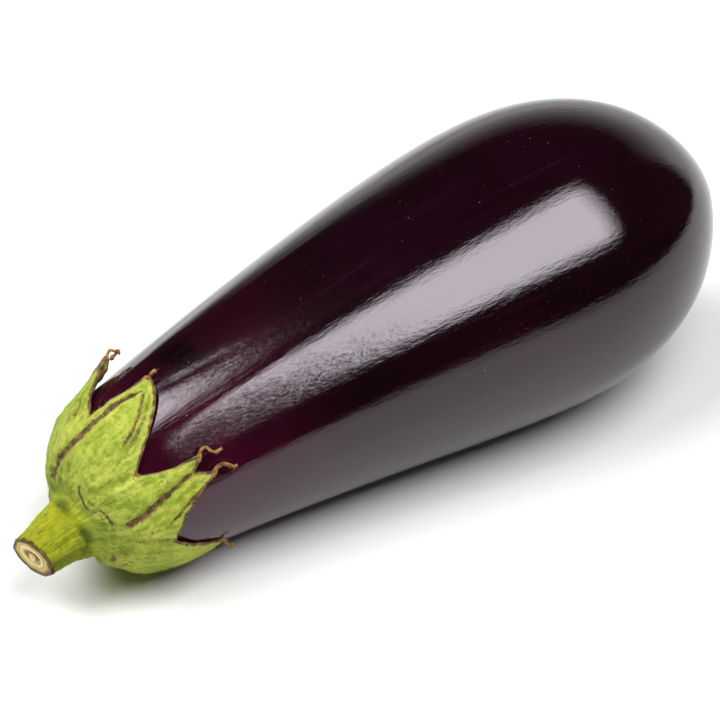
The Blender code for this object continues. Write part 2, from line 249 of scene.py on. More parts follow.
# %% Fruit: spin the body and lay it down
ROUND_PLACE = 40.0              # radius in millimetres at which the kept place goes round the fruit
bm = bmesh.new()
profile = [bm.verts.new((x, 0.0, r)) for x, r in outline(*FRUIT_STEPS)]
edges = [bm.edges.new(pair) for pair in zip(profile, profile[1:])]
bmesh.ops.spin(bm, geom=profile + edges, axis=(1.0, 0.0, 0.0), cent=(0.0, 0.0, 0.0), steps=FRUIT_SIDES,
               angle=2.0 * math.pi, use_merge=True)
bmesh.ops.remove_doubles(bm, verts=bm.verts, dist=0.001)
bmesh.ops.recalc_face_normals(bm, faces=bm.faces)
fruit_mesh = bpy.data.meshes.new("fruit_skin")
bm.to_mesh(fruit_mesh)
bm.free()

straight = mesh_points(fruit_mesh)
fruit_angle = np.degrees(np.arctan2(-straight[:, 1], straight[:, 2]))
order = np.argsort(fine_outline[:, 0])
fruit_arc = np.interp(straight[:, 0], fine_outline[order, 0], fine_arcs[order])
placed = laid_down(skin_point(fruit_arc, fruit_angle, skin_relief(fruit_arc, fruit_angle)))
pole = np.hypot(straight[:, 1], straight[:, 2]) < SCAR_RADIUS
placed[pole] = laid_down(straight[pole])
soft = FLAT_SOFTNESS * MM
placed[:, 2] = 0.5 * (placed[:, 2] + np.sqrt(placed[:, 2] ** 2 + soft ** 2))
placed[:, 2] -= placed[:, 2].min()
fruit_mesh.vertices.foreach_set("co", placed.ravel())
fruit_mesh.shade_smooth()
place_layer = fruit_mesh.attributes.new("place", "FLOAT_VECTOR", "POINT")
around = np.radians(fruit_angle)
fruit_place = np.stack((ROUND_PLACE * np.cos(around), ROUND_PLACE * np.sin(around), fruit_arc), axis=-1)
place_layer.data.foreach_set("vector", fruit_place.ravel())
fruit = new_piece("fruit_skin", fruit_mesh, "fruit")
print("fruit faces:", len(fruit_mesh.polygons))

# %% [markdown]
# ## The calyx and its stem
#
# The calyx is a thick downy sheet that hugs the fruit's shoulder and splits into seven pointed lobes. Their
# edges roll away from the skin, their tips have dried to brown curls, and creases run from the notches to
# the stem. One sheet makes all of it: a grid for each lobe reaches from the middle of the stem's cut, along
# the stem, over the cup and up the lobe to the end of its curl. The grids are welded where they meet, and
# Solidify gives the sheet its thickness inwards. Cloth simulation could droop the lobes, but their places
# are known.

# %% Calyx: driving measures
SKIN_GAP = 0.5                  # these are all in millimetres, and the leans in degrees
SHEET = 1.1
CUP_EXTRA = 0.3
POLE_EXTRA = 2.0
TIP_THINNING = 0.3
EDGE_SHARE = 0.55               # thickness at a lobe's edge, as a share of its middle's
PINCH = 0.42
PINCH_ANGLE = -74.0
BULGE = 0.5
FOOT_ARC = 9.8
STEM_RINGS = ((4.4, 8.7), (6.2, 8.1), (9.0, 7.5), (12.4, 6.9), (15.2, 6.5), (16.8, 6.4))
STEM_ROOT = (2.4, 1.0)
STEM_LEANS = (3.0, 8.5)
CUT_LEANS = (14.0, 4.0)
STEM_LENGTH = STEM_RINGS[-1][0]
STEM_FOOT = STEM_RINGS[0][0]
TIP_WIDTH = 1.4
CURL_WIDTHS = ((0.0, 1.4), (0.15, 1.3), (0.5, 1.1), (0.85, 1.0), (1.0, 0.4))   # along the curl, millimetres
CURL_CUPPING = 0.35
CUT_ROWS, STEM_ROWS, JOINT_ROWS, CUP_ROWS, LOBE_ROWS, CURL_ROWS = 16, 26, 5, 42, 34, 24

# A lobe's notch is the one on its low-angle side, its root is the angle of the crease under that, and its
# dip bends the line where it begins. The places under rise and fall pull its two edges. The twist and the
# curl belong to its dried end. Arcs and heights are in millimetres, angles in degrees.
LOBE_KEYS = ("name", "columns", "notch", "root", "dip",
             "rise", "tip", "fall", "lift", "fold", "roll", "twist",
             "curl")
LOBE_VALUES = (
    ("back", 36, (27, -82), -85, 0.5,
     ((33, -76), (41, -62)), (45.5, -47), ((40.5, -37), (33.5, -26)), 2.5, 1, 0.4, 70,
     ((46.4, -46.8, 3.9), (47.9, -45.9, 4.5), (48.7, -44.9, 3.4), (49.2, -44.1, 2.3), (47.9, -45.1, 1.9),
      (46.5, -46.4, 2.3))),
    ("top", 54, (28.8, -11.5), -45, 0.5,
     ((34, -7), (40, -4.5)), (46.2, -3), ((46.5, 14.5), (33.5, 28)), 0.9, 0.3, 0.05, 50,
     ((46.9, -2.6, 1.2), (48, -2.9, 1.3), (49.2, -2.6, 0.9))),
    ("front_upper", 24, (28.5, 41), 45, 4,
     ((31.5, 48.5), (38.5, 49.5)), (43.8, 51.5), ((43.2, 54.5), (42.2, 56)), 1.2, 0.4, 0, 220,
     ((45.4, 48.9, 1.6), (46.7, 48.8, 1.7), (47.6, 51.7, 1.9), (49, 52.6, 2.3), (50.5, 51.2, 2.5))),
    ("front_lower", 38, (41.7, 57.5), 84, 6,
     ((42.8, 58.5), (44.5, 60)), (46, 62.5), ((41, 66.5), (32.5, 80)), 0.8, 0.3, 0, 120,
     ((47.2, 60.6, 1), (48.9, 60.1, 1.1), (50.3, 61.8, 1.6), (51.3, 64, 2.1), (52.4, 63.7, 2.2))),
    ("under_front", 42, (30.8, 93.5), 108, 1,
     ((33.5, 105), (40.5, 114)), (45, 120.5), ((42, 130), (35, 143)), 0.15, 0, -0.72, 90,
     ((45.8, 123, 0.6), (46.6, 125, 1.5), (47.6, 124.6, 1.4), (47.6, 123.2, 0.8))),
    ("under", 40, (28, 152), 150, 0.5,
     ((34, 160), (41, 175)), (44, 183), ((41, 191), (33, 206)), 0, 0, 0, 0,
     ((45.5, 183, 0.2),)),
    ("back_lower", 42, (27, 214), 214, 0.5,
     ((34, 222), (42, 240)), (45, 248), ((42, 255), (34, 270)), 1.6, 0.8, 0.4, 120,
     ((47, 249, 2.4), (48.4, 248.6, 2.9), (49, 247, 2.4))),
)
LOBES = [dict(zip(LOBE_KEYS, values)) for values in LOBE_VALUES]
print("lobes:", [lobe["name"] for lobe in LOBES])

# %% [markdown]
# Where a lobe folded while it grew, the calyx has a dark crease with a raised lip beside it. Ribs run to
# the tips, and where the cup was rubbed or split it has brown scars. Each mark is one line of places with
# its depth (a rib's is negative), its brownness and its lip. Sculpting by hand would do it too, but a list
# can be read, checked against the picture and changed.

# %% Calyx: creases, cracks and scars
CALYX_LINES = (                 # what it is, widths at its ends, depth, brownness, lip, places
    ("fold left of the top lobe", (1.2, 2.6), 0.6, 1, 0.4,
     ((43.5, 2), (42, 2), (39, 0), (36, -1.5), (30.4, -2.5), (24.4, -5), (19.6, -10.5), (15.4, -19.5),
      (12.4, -27.5), (10.8, -38))),
    ("fold right of the top lobe", (0.9, 1.2), 0.35, 0.75, 0.25,
     ((43.8, 2), (39.6, 9.5), (36.6, 15), (33, 19.5), (28.8, 23.5))),
    ("second fold right of the top lobe", (0.8, 1.6), 0.3, 0.55, 0.2,
     ((44, 5.5), (41.2, 11.5), (37.6, 17.5), (33.6, 22.5), (29.4, 27), (24, 31.5))),
    ("rib of the top lobe", (1.4, 2.6), -0.22, 0, 0,
     ((43, 4), (38, 9), (32, 11), (25, 11), (18, 8), (13, 4))),
    ("rib of the front upper lobe", (1.2, 2.4), -0.3, 0, 0,
     ((42.5, 52.5), (37, 53), (31, 54.5), (24, 57), (17, 60))),
    ("fold between the front lobes", (1.3, 2), 0.6, 1, 0.35,
     ((41.5, 57.5), (38.8, 58), (35.2, 59.5), (32, 61), (28.2, 64), (24.6, 67.5), (18.4, 72.5))),
    ("rib of the front lower lobe", (1, 2), -0.3, 0, 0,
     ((44.5, 63.5), (40, 66), (34, 70), (27, 75.5), (20, 80))),
    ("second rib of the front lower lobe", (1, 1.6), -0.22, 0, 0,
     ((42, 60.5), (36, 64), (30, 69), (24, 74), (19, 77))),
    ("edge fold of the front lower lobe", (0.8, 1.2), 0.25, 0.7, 0.15,
     ((43.5, 65.5), (38.5, 69.5), (33.5, 75.5), (29, 81))),
    ("valley below the notch on top", (1.4, 3), 0.55, 0.15, 0.15,
     ((28.8, 40.5), (25.2, 40.5), (21.6, 39.5), (16, 37), (11, 34))),
    ("valley below the front notch", (1.4, 2.6), 0.4, 0.45, 0.1,
     ((31, 92.5), (26.6, 90), (22.2, 87), (16, 85))),
    ("slit of the back lobe", (0.8, 1.4), 0.8, 0.85, 0.35,
     ((45.3, -46.8), (42.5, -47.5), (39.6, -46.5), (34.2, -36), (29.2, -27), (24.6, -21))),
    ("near fold of the back lobe", (0.7, 1), 0.25, 0.65, 0.2,
     ((43.5, -43.5), (39, -36), (34, -28.5), (29.5, -21.5))),
    ("far fold of the back lobe", (0.8, 1.4), 0.3, 0.8, 0.2,
     ((43.5, -53), (39, -58), (33, -62), (27, -64), (21, -64))),
    ("first crack", (0.7, 0.6), 0.25, 1, 0.1,
     ((14.8, 19), (13.2, 23), (12.4, 27.5), (12, 38), (12.2, 49.5))),
    ("second crack", (0.5, 0.6), 0.2, 0.9, 0.1,
     ((13, 29.5), (13.6, 38), (15, 46))),
    ("third crack", (0.7, 0.9), 0.25, 0.9, 0.1,
     ((15.2, 49.5), (15.6, 53), (16.2, 58), (16.6, 64), (17, 69))),
    ("scar under the stem", (1.3, 1), 0.3, 1, 0.3,
     ((13.6, 103.5), (15, 110), (15, 120), (14.6, 135))),
    ("second scar under the stem", (1, 0.8), 0.2, 0.8, 0.2,
     ((18.5, 117), (18, 124), (16.5, 130))),
    ("scuffed hem", (1.6, 1.6), 0.1, 0.75, 0,
     ((15.2, 149.5), (20, 147), (24.2, 140), (30, 134))),
)
RELIEF = 1.25                   # all the marks' depths are scaled by this


def calyx_lines(arc, angle):
    """Relief in millimetres and brownness from 0 to 1 that the creases, cracks and scars give."""
    relief, brown = np.zeros(arc.shape), np.zeros(arc.shape)
    for _, widths, depth, browned, lip, line in CALYX_LINES:
        distance, along = distance_to_line(arc, angle, line)
        width = widths[0] + (widths[1] - widths[0]) * along
        ends = np.clip(8.0 * np.minimum(along, 1.0 - along), 0.0, 1.0)
        relief -= RELIEF * depth * ridge_shape(distance, width) * ends
        relief += RELIEF * lip * ridge_shape(distance - 0.9 * width, width) * ends
        brown = np.maximum(brown, browned * ridge_shape(distance, 1.1 * width) * np.sqrt(ends))
    return relief, brown


print("marks on the calyx:", len(CALYX_LINES))

# %% [markdown]
# The lobes need soft irregularity too, or they look stamped. Noise in three octaves, read at each place on
# the sheet, buckles the cup by a few tenths of a millimetre, and a stretched noise gives the veins that run
# from the stem to the tips.

# %% Calyx: wrinkles and thickness
WRINKLE, VEIN, PEBBLE = 0.42, 0.10, 0.20    # how much each noise moves the sheet, in millimetres
ROLL_REACH = 1.3                # millimetres from the edge over which it rolls away from the skin
BROWN_EDGE = 0.95               # width of the brown margin, in millimetres
JOINT_GROOVE = 0.95             # depth of the groove round the stem's foot
JOINT_LUMPS = 0.8               # height of the swellings outside that groove
LUMPS_OUT = 3.5                 # how far out from the stem's foot they stand
JOINED_ARC = 25.0               # arc up to which the lobes are joined to a thicker cup
JOINED_SOFTNESS = 2.5
POLE_REACH = 9.0                # reach of the thickening round the stem
CALYX_ROUND = 25.0              # about the radius of the cup where its lobes begin
LOOKS = ("margin", "brown", "cut", "dry", "stem", "shade")


def noise_at(points, scale, octaves=3):
    """Noise from about -1 to 1 at each of an array of places."""
    flat = (np.asarray(points, float) * scale).reshape(-1, 3)
    values = [noise.fractal(Vector(p), 0.8, 2.0, octaves, noise_basis="PERLIN_ORIGINAL") for p in flat]
    return np.array(values).reshape(np.asarray(points).shape[:-1])


def off_pole(arc, angle, share):
    """Cup places after the middle of the cup is shifted to the stem's root."""
    turn, pull = np.radians(angle), (1.0 - share) ** 2
    side = arc * np.sin(turn) + STEM_ROOT[0] * pull
    up = arc * np.cos(turn) - STEM_ROOT[1] * pull
    moved = np.degrees(np.arctan2(side, up))
    return np.hypot(side, up), moved + 360.0 * np.round((angle - moved) / 360.0)


def sheet_thickness(arc):
    """Thickness of the cup at an arc length."""
    joined = 1.0 / (1.0 + np.exp((arc - JOINED_ARC) / JOINED_SOFTNESS))
    return SHEET + CUP_EXTRA * joined + POLE_EXTRA * np.exp(-(arc / POLE_REACH) ** 2)


def pinched(angle, share):
    """Share of its fullness that the cup keeps between the stem and the lobes."""
    toward = np.maximum(0.0, np.cos(np.radians(angle - PINCH_ANGLE)))
    return 1.0 - PINCH * toward ** 2 * np.sin(np.pi * np.clip(share, 0.0, 1.0) ** 1.5)


print("cup thickness at arcs of 10, 20 and 30 mm:", sheet_thickness(np.array((10.0, 20.0, 30.0))).round(2))

# %% [markdown]
# The stem leaves the cup off its middle, leans a little and tapers. It is made as rings across its own
# line, so that ribs can run along it and the cut can face its own way. Where it meets the cup, the groove
# is deep in a few dimples and nearly gone between them, and shade is painted into those dimples.

# %% Calyx: the stem
def leaning(leans, share):
    """Unit direction away from the stem pole, leaning by a share of two angles."""
    side, down = (math.tan(math.radians(lean * share)) for lean in leans)
    return Vector((-1.0, -side, -down)).normalized()


def stem_ring(distance, radii, turns):
    """Places on the stem at a distance from the pole, at an array of radii and directions round it."""
    steps = 12
    point = Vector((0.0, -STEM_ROOT[0], -STEM_ROOT[1]))
    for i in range(steps):
        point = point + leaning(STEM_LEANS, (i + 0.5) / steps * distance / STEM_LENGTH) * distance / steps
    share = distance / STEM_LENGTH
    facing = leaning(STEM_LEANS, share).lerp(leaning(CUT_LEANS, 1.0), share ** 4).normalized()
    turn = Vector((-1.0, 0.0, 0.0)).rotation_difference(facing).to_matrix()
    spokes = np.stack((0.0 * turns, -np.sin(turns) * radii, np.cos(turns) * radii), axis=-1)
    return np.array(point) + spokes @ np.array(turn).T, np.array(facing)


STEM_RIDGE = 72.0               # direction round the stem of its sharpest ridge, in degrees
STEM_RIBS = ((9.0, 0.024, 0.4), (5.0, 0.018, 2.0), (16.0, 0.012, 0.0))      # waves round it, height, phase
STEM_EDGES = ((STEM_RIDGE, 8.0, 0.05), (STEM_RIDGE + 16.0, 8.0, -0.07))     # direction, width, height


def about(turns, centre, width):
    """1 in one direction round the stem, falling softly over a width, both in degrees."""
    return np.exp((np.cos(turns - math.radians(centre)) - 1.0) / math.radians(width) ** 2)


def stem_radius(distance, turns):
    """Radius of the stem: it tapers, soft uneven ribs run along it, and one ridge has a furrow under it."""
    distances, radii = zip(*STEM_RINGS)
    radius = np.interp(distance, distances, radii)
    ribs = sum(height * np.cos(count * turns + phase) for count, height, phase in STEM_RIBS)
    for centre, width, height in STEM_EDGES:
        ribs = ribs + height * about(turns, centre, width)
    ribs = ribs * np.interp(distance, (STEM_FOOT, STEM_LENGTH), (1.3, 0.6))
    return radius * (1.0 + ribs)


CUT_PROFILE = (                 # share of the radius, millimetres out of the cut
    (0.00, 0.55), (0.10, 0.50), (0.17, 0.20), (0.22, -0.55), (0.32, -0.75), (0.40, -0.15), (0.46, 0.05),
    (0.62, 0.10), (0.70, -0.10), (0.76, 0.05), (0.86, 0.05), (0.92, 0.25), (1.00, 0.0))
CUT_INSET = 0.3
HOLLOW_SIDE = 2.4               # direction round the cut, in radians, where the hollow is deepest
HOLLOW_SWING = (0.65, 0.35)     # share of the hollow's depth on the whole, and how much it goes up and down
PITH_SHIFT = 0.10               # how far the rings lie off the middle, as a share of the radius
RIM_SIDE = 1.0                  # direction round the cut where its rim has dried brownest
RIM_SWING = (0.75, 0.55)        # brownness of the rim on the whole, and how much it goes up and down
RIM_REACH = 1.5                 # millimetres down the stem that the brown reaches
# Painted shade: the stem's green is darkened on the facet below its ridge, which is turned down.
STEM_UNDER_SHADE = 0.70         # how much darker the stem is below its ridge
# Painted shade: the calyx's green is darkened on the side turned to the floor.
CALYX_UNDER_SHADE = 0.55        # how much deeper the green is on the side turned to the floor
UNDER_FROM, UNDER_SPAN = 88.0, 45.0     # angles over which that side begins
SWELLINGS = 7.0                 # swellings round the stem's foot
DRY_FROM = 0.86                 # share of a lobe's length at which it starts to be dry
# The dimples deepen the groove and are also painted darker as shade.
JOINT_DIMPLES = (               # direction round the stem, width, depth
    (-4.0, 16.0, 0.95), (66.0, 15.0, 1.0), (140.0, 22.0, 0.5), (195.0, 25.0, 0.7), (255.0, 20.0, 0.5))
JOINT_BETWEEN = 0.10            # depth of the groove between the dimples
JOINT_REACH = 0.8
JOINT_SPAN = 1.6                # millimetres from the stem's foot to the cup


def joint_shade(angle, distance):
    """How deep in the uneven groove round the stem's foot a place lies, from 0 to 1; it is also painted as
    shade.
    """
    turn = np.radians(angle)
    uneven = JOINT_BETWEEN + sum(depth * about(turn, centre, width) for centre, width, depth in JOINT_DIMPLES)
    return uneven * np.exp(-(distance / JOINT_REACH) ** 2)


def under_shade(angle):
    """How much painted shade darkens the calyx's green at an angle round the fruit."""
    return CALYX_UNDER_SHADE * np.clip((angle - UNDER_FROM) / UNDER_SPAN, 0.0, 1.0)


stem_ends = [float(stem_radius(distance, 0.0).round(2)) for distance in (STEM_FOOT, STEM_LENGTH)]
print("stem radius at its foot and its cut, mm:", stem_ends)

# %% [markdown]
# Now the grid of one lobe, row by row: rings of the cut, rings of the stem, a bend onto the cup, the cup up
# to the line between the notches, the lobe as it narrows to its tip, and the dried curl. Each place also
# gets the values that the finish reads later: how near an edge it is, how brown, how dry, and how much shade
# is painted on it: in the groove round the stem's foot, which the same value deepens, below the stem's ridge
# and on the side turned to the floor.

# %% Calyx: the sheet of one lobe
def lobe_sheet(lobe, after):
    """Arrays for one lobe's grid, by row and column: place, and the values that its looks need."""
    across = np.linspace(0.0, 1.0, lobe["columns"] + 1)
    turn = 360.0 if after["notch"][1] < lobe["notch"][1] else 0.0
    notch0, notch1 = np.array(lobe["notch"]), np.array(after["notch"]) + (0.0, turn)
    roots = lobe["root"] + (after["root"] + turn - lobe["root"]) * across
    rows = []

    def add_row(places, arc, angle, margin=20.0, brown=0.0, cut=10.0, dry=0.0, stem=0.0, shade=0.0):
        values = (arc, angle, margin, brown, cut, dry, stem, shade)
        columns = [np.broadcast_to(np.asarray(value, float), across.shape) for value in values]
        rows.append(np.column_stack([places] + columns))

    turns = np.radians(roots)
    for k in range(CUT_ROWS):
        share = k / CUT_ROWS
        rise = np.interp(share, *zip(*CUT_PROFILE))
        if rise < 0.0:
            rise = rise * (HOLLOW_SWING[0] + HOLLOW_SWING[1] * np.cos(turns - HOLLOW_SIDE))
        places, facing = stem_ring(STEM_LENGTH, share * stem_radius(STEM_LENGTH, turns), turns)
        ring = share + PITH_SHIFT * np.cos(turns - HOLLOW_SIDE) * math.sin(math.pi * share)
        out = np.outer(np.broadcast_to(rise, turns.shape) - CUT_INSET, facing)
        add_row(places + out, 0.0, roots, cut=ring, stem=1.0)
    for k in range(STEM_ROWS + 1):
        share = k / STEM_ROWS
        distance = STEM_LENGTH + (STEM_FOOT - STEM_LENGTH) * share
        places, facing = stem_ring(distance, stem_radius(distance, turns), turns)
        from_cut = STEM_LENGTH - distance
        rim = RIM_SWING[0] + RIM_SWING[1] * np.cos(turns - RIM_SIDE)
        # Painted shade below the stem's ridge, and in the dimples at its foot.
        under = STEM_UNDER_SHADE * np.clip((turns - math.radians(STEM_RIDGE + 4.0)) / 0.2, 0.0, 1.0)
        add_row(places, -distance, roots, cut=1.0 + from_cut, stem=1.0,
                brown=rim * math.exp(-(from_cut / RIM_REACH) ** 2), dry=0.5 * math.exp(-from_cut / 0.8),
                shade=np.maximum(under, joint_shade(roots, distance - STEM_FOOT)))
    joint_from = rows[-1]

    def cup_row(share):
        arcs_end = notch0[0] + (notch1[0] - notch0[0]) * across - lobe["dip"] * 4.0 * across * (1.0 - across)
        angles_end = notch0[1] + (notch1[1] - notch0[1]) * across
        arc = FOOT_ARC + (arcs_end - FOOT_ARC) * share
        moved_arc, moved_angle = off_pole(arc, roots + (angles_end - roots) * share, share)
        full = pinched(moved_angle, share)
        crest = np.sin(np.pi * across) ** 0.8 if share > 0.0 else 0.0 * across
        relief, brown = calyx_lines(moved_arc, moved_angle)
        height = SKIN_GAP + BULGE * crest * share * full + sheet_thickness(arc) * full
        edge = (1.0 - share) * (arcs_end - FOOT_ARC)
        spread = (notch1[1] - notch0[1]) * ROUND_DEGREE * CALYX_ROUND
        margin = edge + np.minimum(across, 1.0 - across) * spread
        brown = np.maximum(brown, 0.9 * np.exp(-(margin / (1.3 * BROWN_EDGE)) ** 2))
        out = share * (np.mean(arcs_end) - FOOT_ARC)
        # Painted shade in the groove round the stem's foot; the same value deepens the groove below.
        shade = joint_shade(roots, out + 0.7 * JOINT_SPAN)
        swell = 0.5 + 0.5 * np.cos(SWELLINGS * np.radians(roots) + 0.5)
        lumps = JOINT_LUMPS * np.exp(-((out - LUMPS_OUT) / 2.0) ** 2) * swell
        height = height + relief * min(1.0, 4.0 * share)
        height = height + (lumps - JOINT_GROOVE * shade) * min(1.0, 6.0 * share)
        # Painted shade on the side turned to the floor.
        shade = np.maximum(shade, under_shade(moved_angle) * share)
        return moved_arc, moved_angle, height, margin, brown, shade

    arc, angle, height, margin, brown, shade = cup_row(0.0)
    joint_to = skin_point(arc, angle, height)
    for k in range(1, JOINT_ROWS):
        t = k / JOINT_ROWS
        bend = joint_to * 0.5 + joint_from[:, :3] * 0.5
        bend[:, 0] = joint_to[:, 0] - 0.5
        places = (1.0 - t) ** 2 * joint_from[:, :3] + 2.0 * t * (1.0 - t) * bend + t * t * joint_to
        add_row(places, arc, angle, stem=1.0 - t, shade=joint_shade(roots, JOINT_SPAN * (t - 0.1)))
    for k in range(CUP_ROWS + 1):
        arc, angle, height, margin, brown, shade = cup_row(k / CUP_ROWS)
        add_row(skin_point(arc, angle, height), arc, angle, margin, brown, shade=shade)

    tip = lobe["tip"]
    tip_radius = np.interp(tip[0], fine_arcs, fine_outline[:, 1])
    half = math.degrees(0.5 * TIP_WIDTH / tip_radius)
    left = (notch0, *lobe["rise"], (tip[0], tip[1] - half))
    falling = [np.array((arc, angle + (turn if angle < lobe["notch"][1] else 0.0)))
               for arc, angle in reversed(lobe["fall"])]
    right = (notch1, *falling, (tip[0], tip[1] + half))
    for k in range(1, LOBE_ROWS + 1):
        along = k / LOBE_ROWS
        (arc0, angle0), (arc1, angle1) = bezier(left, along)[0], bezier(right, along)[0]
        arc = arc0 + (arc1 - arc0) * across - lobe["dip"] * 4.0 * across * (1.0 - across) * (1.0 - along)
        angle = angle0 + (angle1 - angle0) * across
        width = math.hypot(arc1 - arc0, (angle1 - angle0) * ROUND_DEGREE * tip_radius)
        margin = np.minimum(across, 1.0 - across) * width
        relief, brown = calyx_lines(arc, angle)
        height = SKIN_GAP + SHEET - TIP_THINNING * along + lobe["lift"] * along ** 2
        height = height + BULGE * np.sin(np.pi * across) ** 0.8 * (1.0 - along)
        height = height + lobe["fold"] * along * (2.0 * across - 1.0) ** 2
        height = height + lobe["roll"] * np.exp(-margin / ROLL_REACH) * min(1.0, 4.0 * along)
        brown = np.maximum(brown, 0.9 * np.exp(-(margin / BROWN_EDGE) ** 2))
        dry = max(0.0, (along - DRY_FROM) / (1.0 - DRY_FROM))
        places = skin_point(arc, angle, height + relief)
        add_row(places, arc, angle, margin, brown, dry=dry, shade=under_shade(angle))
    base = SKIN_GAP + SHEET - TIP_THINNING
    path = [skin_point(tip[0], tip[1], base + lobe["lift"])]
    path += [skin_point(a, g, base + h) for a, g, h in lobe["curl"]]
    dense = smooth_line(path, 12)
    last_row = rows[-1][:, :3]
    tangents = np.gradient(dense, axis=0)
    for k in range(1, CURL_ROWS + 1):
        share = k / CURL_ROWS
        position = share * (len(dense) - 1)
        low = min(int(position), len(dense) - 2)
        part = position - low
        centre = dense[low] * (1.0 - part) + dense[low + 1] * part
        tangent = tangents[low] * (1.0 - part) + tangents[low + 1] * part
        tangent /= np.linalg.norm(tangent)
        side = last_row[-1] - last_row[0]
        side -= tangent * (side @ tangent)
        side /= np.linalg.norm(side)
        twist = math.radians(lobe["twist"]) * share
        side, normal = (side * math.cos(twist) + np.cross(tangent, side) * math.sin(twist),
                        np.cross(tangent, side) * math.cos(twist) - side * math.sin(twist))
        width = np.interp(share, *zip(*CURL_WIDTHS))
        places = centre + np.outer((across - 0.5) * width, side)
        cupping = CURL_CUPPING * width * ((2.0 * across - 1.0) ** 2 - 0.3) * min(1.0, 4.0 * share)
        places += np.outer(cupping, normal)
        add_row(places, tip[0] + 6.0 * share, tip[1], 0.3 + 0.4 * share, 0.9, dry=1.0)
    return np.array(rows)


print("rows of a lobe's grid:", lobe_sheet(LOBES[0], LOBES[1]).shape[0])

# %% [markdown]
# Seven grids, moved into place vertex by vertex, meet exactly along the creases, so a merge by distance
# joins them into one sheet. It is buckled by noise while it is still straight, then bowed, tilted and laid
# down with the fruit. Solidify thickens it inwards, thinner towards the edges by a vertex group, and stays
# a modifier.

# %% Calyx: weld the lobes, buckle the sheet and give it thickness
FLOOR_GAP = 0.15 * MM
EDGE_REACH = 0.7                # millimetres from an edge over which the sheet thins
bm = bmesh.new()
place_key = bm.verts.layers.float_vector.new("place")
looks_keys = [bm.verts.layers.float.new(name) for name in LOOKS + ("thin",)]
for lobe, after in zip(LOBES, LOBES[1:] + LOBES[:1]):
    sheet = lobe_sheet(lobe, after)
    last_row, last_column = sheet.shape[0] - 1, sheet.shape[1] - 1
    grid = bmesh.ops.create_grid(bm, x_segments=last_column, y_segments=last_row, size=0.5)["verts"]
    for vert in grid:
        column, row = round((vert.co.x + 0.5) * last_column), round((vert.co.y + 0.5) * last_row)
        x, y, z, arc, angle, *looks = sheet[row, column]
        vert.co = (x, y, z)
        turn = math.radians(angle)
        vert[place_key] = Vector((CALYX_ROUND * math.cos(turn), CALYX_ROUND * math.sin(turn), arc))
        edge = 1.0 - math.exp(-looks[0] / EDGE_REACH)
        for key, value in zip(looks_keys, looks + [EDGE_SHARE + (1.0 - EDGE_SHARE) * edge]):
            vert[key] = value
bmesh.ops.remove_doubles(bm, verts=bm.verts, dist=0.004)
bmesh.ops.recalc_face_normals(bm, faces=bm.faces)
if sum(face.normal.x * face.calc_area() for face in bm.faces) > 0.0:
    bmesh.ops.reverse_faces(bm, faces=bm.faces)
bm.normal_update()
cut_key = bm.verts.layers.float["cut"]
veined = np.array([vert[place_key] for vert in bm.verts])
buckle = noise_at(veined, 0.16)
veins = noise_at(veined * (1.0, 1.0, 0.15), 0.8, 2)
pebbles = noise_at(veined, 0.85, 2)
moves = np.stack((buckle, veins, pebbles), axis=-1) @ (WRINKLE, VEIN, PEBBLE)
for vert, move in zip(list(bm.verts), moves):
    if vert[cut_key] > 1.2:
        vert.co += vert.normal * move
for face in bm.faces:
    face.smooth = True
    face.material_index = int(all(vert[cut_key] <= 1.0 for vert in face.verts))
calyx_mesh = bpy.data.meshes.new("calyx_and_stem_sheet")
bm.to_mesh(calyx_mesh)
bm.free()
placed = laid_down(mesh_points(calyx_mesh))
placed[:, 2] = np.maximum(placed[:, 2], FLOOR_GAP)
calyx_mesh.vertices.foreach_set("co", placed.ravel())
calyx = new_piece("calyx_and_stem_sheet", calyx_mesh, "calyx_and_stem")
thick_group = calyx.vertex_groups.new(name="thickness")
for index, item in enumerate(calyx_mesh.attributes["thin"].data):
    thick_group.add((index,), item.value, "REPLACE")
wall = calyx.modifiers.new("wall", "SOLIDIFY")
wall.thickness = SHEET * MM * 0.9
wall.offset = -1.0
wall.vertex_group = thick_group.name
print("calyx sheet faces:", len(calyx_mesh.polygons))

# %% [markdown]
# ## Down
#
# Short pale hairs cover the calyx and the stem and soften their edges against the background. A particle
# system would be the usual way, but what travels with a model has to be a mesh, so each hair is a thin
# three-sided cone, set on the sheet by a seeded choice of faces and leaning towards the lobe's tip.

